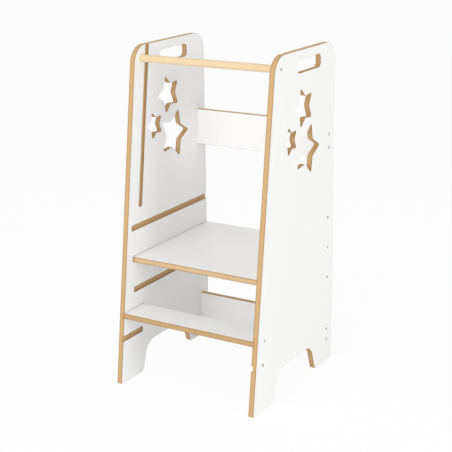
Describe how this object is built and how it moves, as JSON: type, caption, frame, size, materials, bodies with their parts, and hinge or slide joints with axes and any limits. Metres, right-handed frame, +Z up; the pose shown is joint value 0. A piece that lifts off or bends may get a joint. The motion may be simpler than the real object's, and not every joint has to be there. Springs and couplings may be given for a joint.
{
  "type": "toddler kitchen helper stool",
  "caption": "Tall open stool for a toddler at the counter: slotted side panels with star cut-outs, a platform and step that slide in grooves, backrest, lower rail and safety bar.",
  "frame": {"origin": "on the floor, in the middle of the footprint", "axes": "+X towards the right-hand side panel as seen from the step side, +Y from the step side (front) to the backrest side (back), +Z up"},
  "size_m": [0.425, 0.4496, 0.9],
  "materials": {
    "coated_board": "15 mm fibreboard with a smooth white satin coat on its faces; edges and grooves left bare tan",
    "beech": "turned and sanded, clear matt lacquer",
    "screw_steel": "zinc plated, satin"
  },
  "bodies": {
    "frame": {"side_panel_left": "coated_board", "side_panel_right": "coated_board", "backrest": "coated_board", "lower_rail": "coated_board", "front_bar": "beech", "bar_screws": "screw_steel", "backrest_screws": "screw_steel", "lower_rail_screws": "screw_steel", "platform_lock_screws": "screw_steel", "step_lock_screws": "screw_steel"},
    "platform": {"platform": "coated_board"},
    "step": {"step": "coated_board"}
  },
  "joints": [
    {"name": "platform_slide", "type": "slide", "parent": "frame", "child": "platform", "axis": [0, 1, 0], "range_m": [0, 0.38]},
    {"name": "step_slide", "type": "slide", "parent": "frame", "child": "step", "axis": [0, -1, 0], "range_m": [0, 0.12]}
  ]
}
